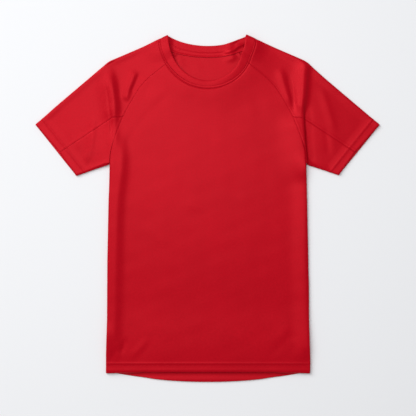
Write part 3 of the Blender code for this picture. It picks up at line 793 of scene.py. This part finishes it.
sleeve = {
    "raglanShares": [0, 0.002, 0.005, 0.009, 0.014, 0.019, 0.024, 0.029, 0.034, 0.039, 0.044, 0.05,
                     0.058, 0.068, 0.082, 0.105],
    "raglanSteps": 34,
    "sleeveSteps": 84,
    "hemInsets": [22, 21.2, 20.4, 19.6, 18.8, 18, 17.3, 16.6, 15.8, 14.5, 12.5, 10, 7.5, 5, 3.2, 2,
                  1.3, 0.8, 0.4, 0.15, 0],
    "aboveHem": [6, 4.4, 3.2, 2.3, 1.6, 1.0, 0.5],
    "step": 2.7,
    "neckPoints": 24,
    "round": 0.06,  # how softly the shoulder bends
    "nearest": 0.02,  # rows closer than this to the row before are left out,
    "cuffKept": 1.5,  # but all that are this near to the cuff are kept
    "gapReach": 1.5,  # how far in from a seam the cloth is drawn back from it
}
foldTurns = np.radians(np.linspace(90, -90, 13))


def facingOf(start, end, side):
    run = np.array(end) - np.array(start)
    run = run / np.linalg.norm(run)
    return side * np.array([-run[1], run[0]])


shoulderFacing = facingOf(cut["shoulderTop"], bendRib.top, 1)
sleeveFacing = facingOf(bendRib.top, cuffRib.top, 1)
bendFacing = (shoulderFacing + sleeveFacing) / np.linalg.norm(shoulderFacing + sleeveFacing)
underFacing = facingOf(cut["underarm"], cuffRib.under, -1)


def plainTop(point):
    # an even height for the folded edges, the same on both sides
    return 0.5 * float(topHeight(point[0], point[1]) + topHeight(-point[0], point[1]))


def drawnIn(outermost, facing):
    return np.array(outermost) - plainTop(outermost) / 2 * facing


def shares(parts, step, atStart=(0,), atEnd=(0,)):
    # shares along joined parts, with a point at each joint
    lengths = [pathLength(part) for part in parts]
    at = [spacing(lengths[0], step, atStart, atEnd)]
    for k in range(1, len(parts)):
        at.append(sum(lengths[:k]) + spacing(lengths[k], step)[1:])
    return np.concatenate(at) / sum(lengths)


def placed(path, share):
    return alongPath(path, share * pathLength(path))


def sleeveRuns():
    # plan lines of the raglan end, then the straight ribs, all with points at the same shares
    gap, step, backStep = cloth["halfGap"], sleeve["step"], 2 * sleeve["step"]
    k = cut["frontSeamAt"] * splineSteps
    frontUnder, frontUpper = movedLeft(frontRaglan[:k + 1], -gap), movedLeft(frontRaglan[k:], -gap)
    k = cut["backSeamAt"] * splineSteps
    backUnder, backUpper = movedLeft(backRaglan[:k + 1], -gap), movedLeft(backRaglan[k:], -gap)
    seam = (neck["seam"][0] + gap, neck["seam"][1] + gap)
    startAngle = math.asin((neck["centreY"] - cut["frontRaglan"][-1][1]) / neck["seam"][1])
    frontNeck = ellipsePoint(seam, np.linspace(startAngle, neck["seamTurn"], sleeve["neckPoints"]))
    backX = np.linspace(cut["backRaglan"][-1][0], frontNeck[-1][0], sleeve["neckPoints"])
    backNeck = np.stack([backX, backCurve(neck["backSeam"], backX) - gap], axis=1)
    backNeck[-1] = frontNeck[-1]
    under = drawnIn(cut["underarm"], underFacing)
    frontUnder[0], backUnder[0] = under, under
    frontNeck[0], backNeck[0] = frontUpper[-1], backUpper[-1]
    raglan = {
        "upperFront": np.vstack([frontUpper, frontNeck[1:]]),
        "upperBack": np.vstack([backUpper, backNeck[1:]]),
        "underFront": frontUnder,
        "underBack": backUnder,
    }
    spread = {
        "upperFront": shares([frontUpper, frontNeck], step, atStart=lipSteps),
        "upperBack": shares([backUpper, backNeck], backStep, atStart=lipSteps),
        "underFront": shares([frontUnder], step, atEnd=lipSteps),
        "underBack": shares([backUnder], backStep, atEnd=lipSteps),
    }
    stations = [({key: placed(raglan[key], spread[key]) for key in raglan}, shoulderFacing)]
    hemRib = ribInside(cut["cuffDepth"])
    for rib, facing in ((bendRib, bendFacing), (hemRib, sleeveFacing), (cuffRib, sleeveFacing)):
        top, under = drawnIn(rib.top, facing), drawnIn(rib.under, underFacing)
        ends = {
            "upperFront": (rib.frontSeam, top), "upperBack": (rib.backSeam, top),
            "underFront": (under, rib.frontSeam), "underBack": (under, rib.backSeam),
        }
        stations.append(({key: placed(np.array(ends[key], float), spread[key]) for key in ends}, facing))
    return stations


def roundFold(inset, facing, radius):
    plan = inset + radius * np.cos(foldTurns)[:, None] * facing
    return np.column_stack([plan, radius + radius * np.sin(foldTurns)])


def sleeveGrids(side):
    raglan, bend, hem, cuff = sleeveRuns()
    mirror, flip = np.array([side, 1.0]), np.array([side, 1.0, 1.0])
    e = sleeve["round"]

    def soft(s):
        return max(s, 0) + 0.5 * (math.hypot(s, e) - abs(s)) * (1 - abs(s))

    places = []
    before = spacing(1, 1 / sleeve["raglanSteps"], atStart=sleeve["raglanShares"])
    after = np.linspace(0, 1, sleeve["sleeveSteps"])[1:-1]
    for s in [*(before[:-1] - 1), *after]:
        places.append(lambda a, b, c, d, s=s: b + (a - b) * soft(-s) + (c - b) * soft(s))
    # the hem's own rows, counted in from the cuff
    run = math.dist(bendRib.frontSeam, cuffRib.frontSeam) - cut["cuffDepth"]
    for inset in sleeve["aboveHem"]:
        places.append(lambda a, b, c, d, t=inset / run: c + (b - c) * t)
    for inset in sleeve["hemInsets"]:
        places.append(lambda a, b, c, d, t=1 - inset / cut["cuffDepth"]: c + (d - c) * t)
    order, upper, under = [], [], []
    for place in places:
        plan = {key: place(raglan[0][key], bend[0][key], hem[0][key], cuff[0][key]) for key in raglan[0]}
        facing = place(raglan[1], bend[1], hem[1], cuff[1])
        facing = facing / np.linalg.norm(facing)
        top, low = plan["upperFront"][-1], plan["underFront"][0]
        topFold = roundFold(top, facing, plainTop(top) / 2)
        lowFold = roundFold(low, underFacing, plainTop(low) / 2)
        order.append(np.linalg.norm(plan["upperFront"][0] - raglan[0]["upperFront"][0]))
        upper.append(np.vstack([onTop(plan["upperFront"][:-1] * mirror), topFold * flip,
                                onTable(plan["upperBack"][-2::-1] * mirror)]))
        under.append(np.vstack([onTop(plan["underFront"][:0:-1] * mirror), lowFold * flip,
                                onTable(plan["underBack"][1:] * mirror)]))
    keep = [0]
    for k in range(1, len(order)):
        if order[k] > order[keep[-1]] + sleeve["nearest"] or order[k] > order[-1] - sleeve["cuffKept"]:
            keep.append(k)
    upper, under = np.array(upper)[keep], np.array(under)[keep]
    for grid, away in ((upper, 1), (under, -1)):
        fromSeam = runsFrom(grid, 1)
        fromOther = fromSeam[:, -1:] - fromSeam
        reach = sleeve["gapReach"]
        grid[..., 1] += away * cloth["halfGap"] * (np.exp(-fromSeam / reach) + np.exp(-fromOther / reach))
    return upper, under


def sleevePieces(name, side):
    made = []
    upper, under = sleeveGrids(side)
    for part, grid, turned in (("upper", upper, side > 0), ("under", under, side < 0)):
        wall = hemmedWall(insideCuff(np.abs(grid[..., 0]), grid[..., 1]))
        edgeLip = upperSeam if part == "upper" else underSeam
        node = f"{name}_sleeve_{part}"
        piece, area = shell(node + "_panel", grid, wall, (sleeveSeam, freeCuff, edgeLip, edgeLip),
                            jerseyFinish, turned=turned)
        made.append((piece, node, area))
    return made


sleeves = sleevePieces("left", 1) + sleevePieces("right", -1)


# neckband and the strip inside the back neck

band = {
    "frontRows": 560,
    "backRows": 250,
    "across": [0, 0.008, 0.025, 0.05, 0.09, 0.15, 0.25, 0.37, 0.5, 0.63, 0.75, 0.85, 0.92, 0.96,
               0.985, 1.0],
    "crown": 0.22,
    "standing": (1.7, 2.6),  # its free edge stands up beside the neck, at the wearer's right and left,
    "standingFrom": 0.4,  # and less towards the shoulders, from this share of the neck's depth
    "wall": 2.0,
    "ribPitch": 1.9,
    "ribHeight": 0.07,
    "foldPoints": 11,
}


def bandGrid():
    share = np.array(band["across"])
    n = band["frontRows"] + 1
    edge = ellipsePoint(neck["edge"], np.linspace(neck["edgeTurn"], math.pi - neck["edgeTurn"], n))
    seam = ellipsePoint((neck["seam"][0] - cloth["halfGap"], neck["seam"][1] - cloth["halfGap"]),
                        np.linspace(neck["seamTurn"], math.pi - neck["seamTurn"], n))
    plan = mix(edge[:, None], seam[:, None], share[None, :, None])
    height = topHeight(seam[:, 0], seam[:, 1])[:, None] + band["crown"] * np.sin(math.pi * share)[None]
    across = seam[:, 0] / neck["seam"][0]
    down = (neck["centreY"] - seam[:, 1]) / neck["seam"][1]
    atRight, atLeft = band["standing"]
    stands = np.abs(across) * np.where(across > 0, atLeft, atRight) * smooth(down / band["standingFrom"])
    height = height + stands[:, None] * (1 - share)
    front = np.concatenate([plan, height[..., None]], axis=-1)
    turns = np.radians(np.linspace(90, -90, band["foldPoints"]))[1:-1]

    def fold(row, side):
        facing = shoulderFacing * (side, 1)
        radius = row[0, 2] / 2
        rows = []
        for turn in turns:
            plan = row[:, :2] + radius * math.cos(turn) * facing
            rows.append(np.column_stack([plan, np.full(len(row), radius + radius * math.sin(turn))]))
        return np.array(rows)

    across = np.linspace(-1, 1, band["backRows"] + 1)
    edgeX, seamX = neck["backEdge"][2] * across, (neck["backSeam"][2] - cloth["halfGap"]) * across
    edge = np.stack([edgeX, backCurve(neck["backEdge"], edgeX)], axis=1)
    seam = np.stack([seamX, backCurve(neck["backSeam"], seamX) + cloth["halfGap"]], axis=1)
    under = onTable(mix(edge[:, None], seam[:, None], share[None, :, None]))
    return np.concatenate([front, fold(front[-1], -1), under, fold(front[0], 1)[::-1]])


grid = bandGrid()
middle = grid[:, len(band["across"]) // 2]
run = np.concatenate([[0], np.cumsum(np.linalg.norm(np.diff(middle, axis=0), axis=1))])
ribs = band["ribHeight"] * (0.5 - 0.5 * np.cos(run * 2 * math.pi / band["ribPitch"]))
inward = normalsOf(grid, True) * (ribs[:, None] * np.sin(math.pi * np.array(band["across"])))[..., None]
grid = grid + inward
neckband, bandArea = shell("neckband_rib", grid, band["wall"], (None, None, bandEdge, bandSeam), ribFinish,
                           ring=True, turned=True)

strip = {
    "halfWidth": 86,  # past the ends of the solid, only partly under the band
    "rows": 120,
    "across": [0, 0.02, 0.06, 0.12, 0.18, 0.24, 0.3, 0.38, 0.5, 0.62, 0.72, 0.8, 0.86, 0.91, 0.95,
               0.98, 1.0],
    "wall": 0.6,
    # laps the band by this much, at this height, and comes down to the back over this share
    "overBand": (1.4, 2.35, 0.30),
    "overBack": 1.75,
    # the lower edge rolls up: height, and where and how wide as a share
    "roll": (0.8, 0.88, 0.14),
}
x = np.linspace(-strip["halfWidth"], strip["halfWidth"], strip["rows"])
share = np.array(strip["across"])
lap, lapHeight, lapShare = strip["overBand"]
rollHeight, rollAt, rollHalf = strip["roll"]
upperY, lowerY = backCurve(neck["backSeam"], x) + lap, backCurve(neck["tapeEdge"], x)
plan = np.stack(np.broadcast_arrays(x[:, None], mix(upperY[:, None], lowerY[:, None], share)), axis=-1)
grid = onTable(plan)
grid[..., 2] += mix(lapHeight, strip["overBack"], smooth(share / lapShare))
grid[..., 2] += rollHeight * bump(share - rollAt, rollHalf)
tape, tapeArea = shell("neck_strip", grid, strip["wall"], (rawEdge,) * 4, tapeFinish)


# stitches, laid end to end along a line on the cloth

thread = {"Stitch Length": 2.3, "Pitch": 2.9, "Thread Width": 0.5}
stitchRows = {
    "seed": 3,
    "unevenness": (0.88, 1.1),
    "above": 0.12,  # how far above the cloth they lie
    "aboveNeck": 0.1,
    "hemReach": 224,
    "hemPoints": 300,
    "cuffReach": (7, 138),  # along the cuff, from its under fold
    "cuffPoints": 90,
    "neckTurn": 10,  # degrees below the shoulders, at both ends
    "neckPoints": 260,
}


def stitchTree():
    tree = bpy.data.node_groups.new("sewn_line", "GeometryNodeTree")
    for label, kind in (("Geometry", "Geometry"), ("Stitch Length", "Float"), ("Pitch", "Float"),
                        ("Thread Width", "Float"), ("Seed", "Int"), ("Thread", "Material")):
        tree.interface.new_socket(name=label, in_out="INPUT", socket_type="NodeSocket" + kind)
    tree.interface.new_socket(name="Geometry", in_out="OUTPUT", socket_type="NodeSocketGeometry")

    def add(kind, settings=None, **inputs):
        return addNode(tree, kind, settings or {}, inputs)

    given = add("NodeGroupInput").outputs
    line = add("GeometryNodeMeshToCurve", Mesh=given["Geometry"])
    spaced = add("GeometryNodeResampleCurve", {"mode": "LENGTH"}, Curve=line.outputs[0],
                 Length=given["Pitch"])
    ball = add("GeometryNodeMeshUVSphere", Segments=6, Rings=4, Radius=0.5)
    size = add("ShaderNodeCombineXYZ", X=given["Stitch Length"], Y=given["Thread Width"],
               Z=given["Thread Width"])
    stitch = add("GeometryNodeTransform", Geometry=ball.outputs[0], Scale=size.outputs[0])
    tangent = add("GeometryNodeInputTangent")
    turn = add("FunctionNodeAlignRotationToVector", {"axis": "X"}, Vector=tangent.outputs[0])
    uneven = add("FunctionNodeRandomValue", {"data_type": "FLOAT"}, Seed=given["Seed"])
    uneven.inputs[2].default_value, uneven.inputs[3].default_value = stitchRows["unevenness"]
    rows = add("GeometryNodeInstanceOnPoints", Points=spaced.outputs[0], Instance=stitch.outputs[0],
               Rotation=turn.outputs[0], Scale=uneven.outputs[1])
    real = add("GeometryNodeRealizeInstances", Geometry=rows.outputs[0])
    painted = add("GeometryNodeSetMaterial", Geometry=real.outputs[0], Material=given["Thread"])
    out = tree.nodes.new("NodeGroupOutput")
    tree.links.new(painted.outputs[0], out.inputs[0])
    return tree


sewnLine = stitchTree()


def sewn(name, lines):
    points, edges = [], []
    for line in lines:
        start = len(points)
        points += (asLaid(np.asarray(line)) * 0.001).tolist()
        edges += [(k, k + 1) for k in range(start, len(points) - 1)]
    guide = newPiece(name + "_line", bpy.data.meshes.new(name + "_line"))
    guide.data.from_pydata(points, edges, [])
    modifier = guide.modifiers.new("Stitches", "NODES")
    modifier.node_group = sewnLine
    values = {key: value * 0.001 for key, value in thread.items()}
    values.update(Seed=stitchRows["seed"], Thread=threadFinish)
    for item in sewnLine.interface.items_tree:
        if item.in_out == "INPUT" and item.name in values:
            modifier[item.identifier] = values[item.name]
    ready = guide.evaluated_get(bpy.context.evaluated_depsgraph_get())
    mesh = bpy.data.meshes.new_from_object(ready)
    mesh.name = name
    mesh.shade_smooth()
    bpy.data.objects.remove(guide)
    print(name, len(mesh.polygons))
    return newPiece(name, mesh)


def lifted(plan, above=stitchRows["above"]):
    line = onTop(np.asarray(plan, float))
    line[:, 2] += above
    return line


hemX = np.linspace(-stitchRows["hemReach"], stitchRows["hemReach"], stitchRows["hemPoints"])
hemLines = [lifted(np.stack([hemX, np.full(len(hemX), cut["hemY"] + at)], axis=1))
            for at in lie["hemStitches"]]
hemStitching = sewn("front_hem_stitches", hemLines)

cuffLines = {1: [], -1: []}
start, end = np.array(cuffRib.under), np.array(cuffRib.top)
cuffRun = (end - start) / np.linalg.norm(end - start)
cuffInward = np.array([-cuffRun[1], cuffRun[0]])
reach = np.linspace(*stitchRows["cuffReach"], stitchRows["cuffPoints"])
for side in (1, -1):
    for at in lie["cuffStitches"]:
        plan = (start + cuffRun * reach[:, None] + cuffInward * at) * (side, 1)
        cuffLines[side].append(lifted(plan))
cuffStitching = {
    "left_sleeve_upper": [sewn("left_cuff_stitches", cuffLines[1])],
    "right_sleeve_upper": [sewn("right_cuff_stitches", cuffLines[-1])],
}

neckTurn = math.radians(stitchRows["neckTurn"])
angles = np.linspace(neckTurn, math.pi - neckTurn, stitchRows["neckPoints"])
neckLine = lifted(ellipsePoint(neck["stitch"], angles), stitchRows["aboveNeck"])
neckStitching = sewn("neck_stitches", [neckLine])


# each piece, cut from flat cloth, takes the place of its solid, which is hidden

for piece, node, area, flat, rests, stitches in (
    (front, "front", frontArea, (0.460, 0.699), ["back_panel"], [hemStitching, neckStitching]),
    (back, "back", backArea, (0.460, 0.750), [], []),
    (neckband, "neckband", bandArea, (0.563, 0.0165), ["back_panel"], []),
    (tape, "neck_tape", tapeArea, (0.175, 0.0145), ["back_panel"], []),
):
    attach(piece, "root")
    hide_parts(node)
for piece, node, area in sleeves:
    flat = (0.290, 0.345) if "upper" in node else (0.225, 0.145)
    stitches = cuffStitching.get(node, [])
    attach(piece, "root")
    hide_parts(node)
for piece in (hemStitching, *sum(cuffStitching.values(), []), neckStitching):
    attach(piece, "root")


# table, camera and light, in metres

studio = {
    "tableSize": 6.0,
    "tableDrop": 0.0002,
    "tableColour": (0.86, 0.865, 0.88),
    "tableRoughness": 0.9,
    "tableSpecular": 0.1,
    "centre": (0.0, 0.00225),
    "height": 2.4,  # of the camera over the cloth, which is at clothAt
    "clothAt": 0.005,
    "sensor": 36,
    "across": 0.936,  # what the camera sees at that height
    "windowLight": ((-3.55, 2.85, 3.82), 4.0, 238),  # place, size, power
    "ceilingLight": ((-0.31, 0.54, 2.49), 1.30, 17.8),
    "air": 0.41,
    "airColour": (0.97, 0.98, 1.0),
}
half = studio["tableSize"] / 2
corners = [(x * half, y * half, -studio["tableDrop"]) for x, y in ((-1, -1), (1, -1), (1, 1), (-1, 1))]
tableMesh = bpy.data.meshes.new("table_top")
tableMesh.from_pydata(corners, [], [(0, 1, 2, 3)])
table = newPiece("table_top", tableMesh)
tableShader = Shader("white_table")
tableShader.paint(Base_Color=(*studio["tableColour"], 1), Roughness=studio["tableRoughness"],
                  Specular_IOR_Level=studio["tableSpecular"])
tableMesh.materials.append(tableShader.material)

camera = newPiece("overhead_camera", bpy.data.cameras.new("overhead_camera"))
camera.data.sensor_width = studio["sensor"]
camera.data.lens = studio["sensor"] * studio["height"] / studio["across"]
camera.location = (*studio["centre"], studio["height"] + studio["clothAt"])
bpy.context.scene.camera = camera


def softLight(name, at, size, power):
    light = bpy.data.lights.new(name, "AREA")
    light.size, light.energy = size, power
    lamp = newPiece(name, light)
    lamp.location = at
    lamp.rotation_euler = (-lamp.location).to_track_quat("-Z", "Y").to_euler()


softLight("window_light", *studio["windowLight"])
softLight("ceiling_light", *studio["ceilingLight"])
world = bpy.data.worlds.new("room")
world.use_nodes = True
sky = world.node_tree.nodes["Background"]
sky.inputs["Color"].default_value = (*studio["airColour"], 1)
sky.inputs["Strength"].default_value = studio["air"]
bpy.context.scene.world = world
bpy.context.scene.view_settings.view_transform = "Standard"
print("studio ready")
